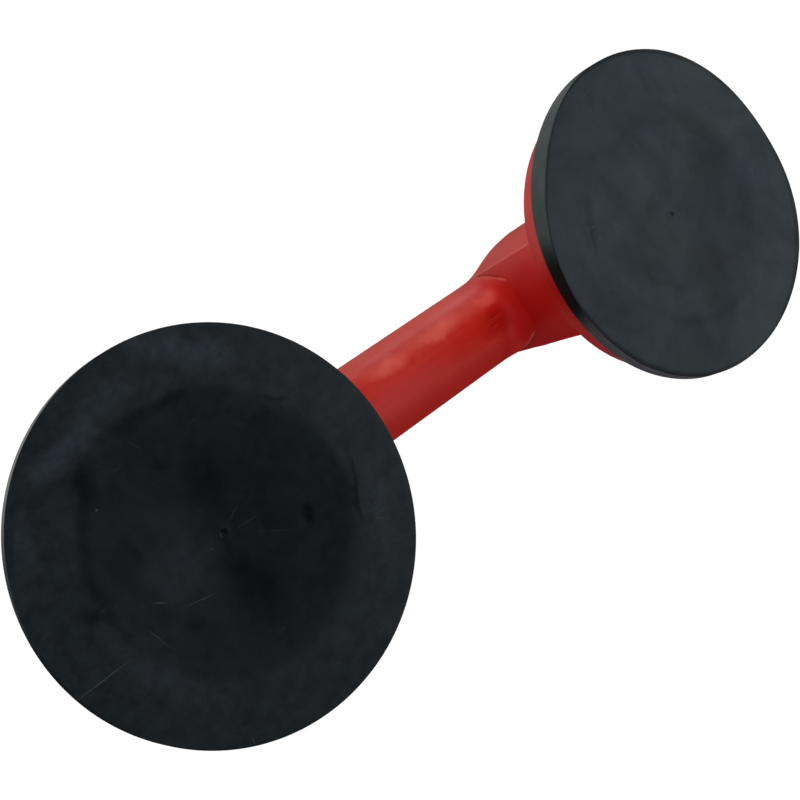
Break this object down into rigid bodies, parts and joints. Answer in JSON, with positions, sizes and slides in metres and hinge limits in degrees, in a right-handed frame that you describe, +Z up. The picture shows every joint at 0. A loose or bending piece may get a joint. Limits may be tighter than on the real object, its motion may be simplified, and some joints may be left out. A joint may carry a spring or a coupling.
{
  "type": "floor tile suction lifter",
  "caption": "Hand lifter with a straight round grip between rubber suction cups, each cup drawn up by a folding cam lever.",
  "frame": {"origin": "midway between the cup axes, in the plane of the pad faces", "axes": "+X along the grip towards the right cup, +Y across the grip, +Z up from the pad faces"},
  "size_m": [0.3232, 0.1188, 0.0753],
  "materials": {
    "body_red": "moulded ABS, satin gloss",
    "rubber": "moulded rubber, dull with faint scuffs",
    "lever_black": "glass-filled nylon, fine texture",
    "plated_steel": "zinc-plated",
    "spring_steel": "oiled spring wire",
    "acetal": "natural acetal"
  },
  "bodies": {
    "root": {"body_lower": "body_red", "body_upper": "body_red", "left_rubber_pad": "rubber", "left_stud_bush": "acetal", "left_cam_plate": "plated_steel", "left_return_spring": "spring_steel", "left_shell_screws": "plated_steel", "right_rubber_pad": "rubber", "right_stud_bush": "acetal", "right_cam_plate": "plated_steel", "right_return_spring": "spring_steel", "right_shell_screws": "plated_steel"},
    "left_draw": {"left_pad_stud": "plated_steel", "left_pad_plate": "plated_steel", "left_spring_seat": "plated_steel", "left_lever_pin": "plated_steel", "left_pin_clip": "spring_steel"},
    "left_lever_arm": {"left_lever": "lever_black"},
    "right_draw": {"right_pad_stud": "plated_steel", "right_pad_plate": "plated_steel", "right_spring_seat": "plated_steel", "right_lever_pin": "plated_steel", "right_pin_clip": "spring_steel"},
    "right_lever_arm": {"right_lever": "lever_black"}
  },
  "joints": [
    {"name": "left_draw_slide", "type": "slide", "parent": "root", "child": "left_draw", "axis": [0, 0, -1], "range_m": [0, 0.00281], "deforming": ["left_rubber_pad", "left_return_spring"]},
    {"name": "left_lever_hinge", "type": "hinge", "parent": "left_draw", "child": "left_lever_arm", "pos_m": [-0.1022, 0, 0.0337], "axis": [0, 1, 0], "range_deg": [0, 95]},
    {"name": "right_draw_slide", "type": "slide", "parent": "root", "child": "right_draw", "axis": [0, 0, -1], "range_m": [0, 0.00281], "deforming": ["right_rubber_pad", "right_return_spring"]},
    {"name": "right_lever_hinge", "type": "hinge", "parent": "right_draw", "child": "right_lever_arm", "pos_m": [0.1022, 0, 0.0337], "axis": [0, -1, 0], "range_deg": [0, 95]}
  ],
  "couplings": [
    {"joint": "left_draw_slide", "follows": "left_lever_hinge", "m_per_rad": 0.0016897},
    {"joint": "right_draw_slide", "follows": "right_lever_hinge", "m_per_rad": 0.0016897}
  ]
}
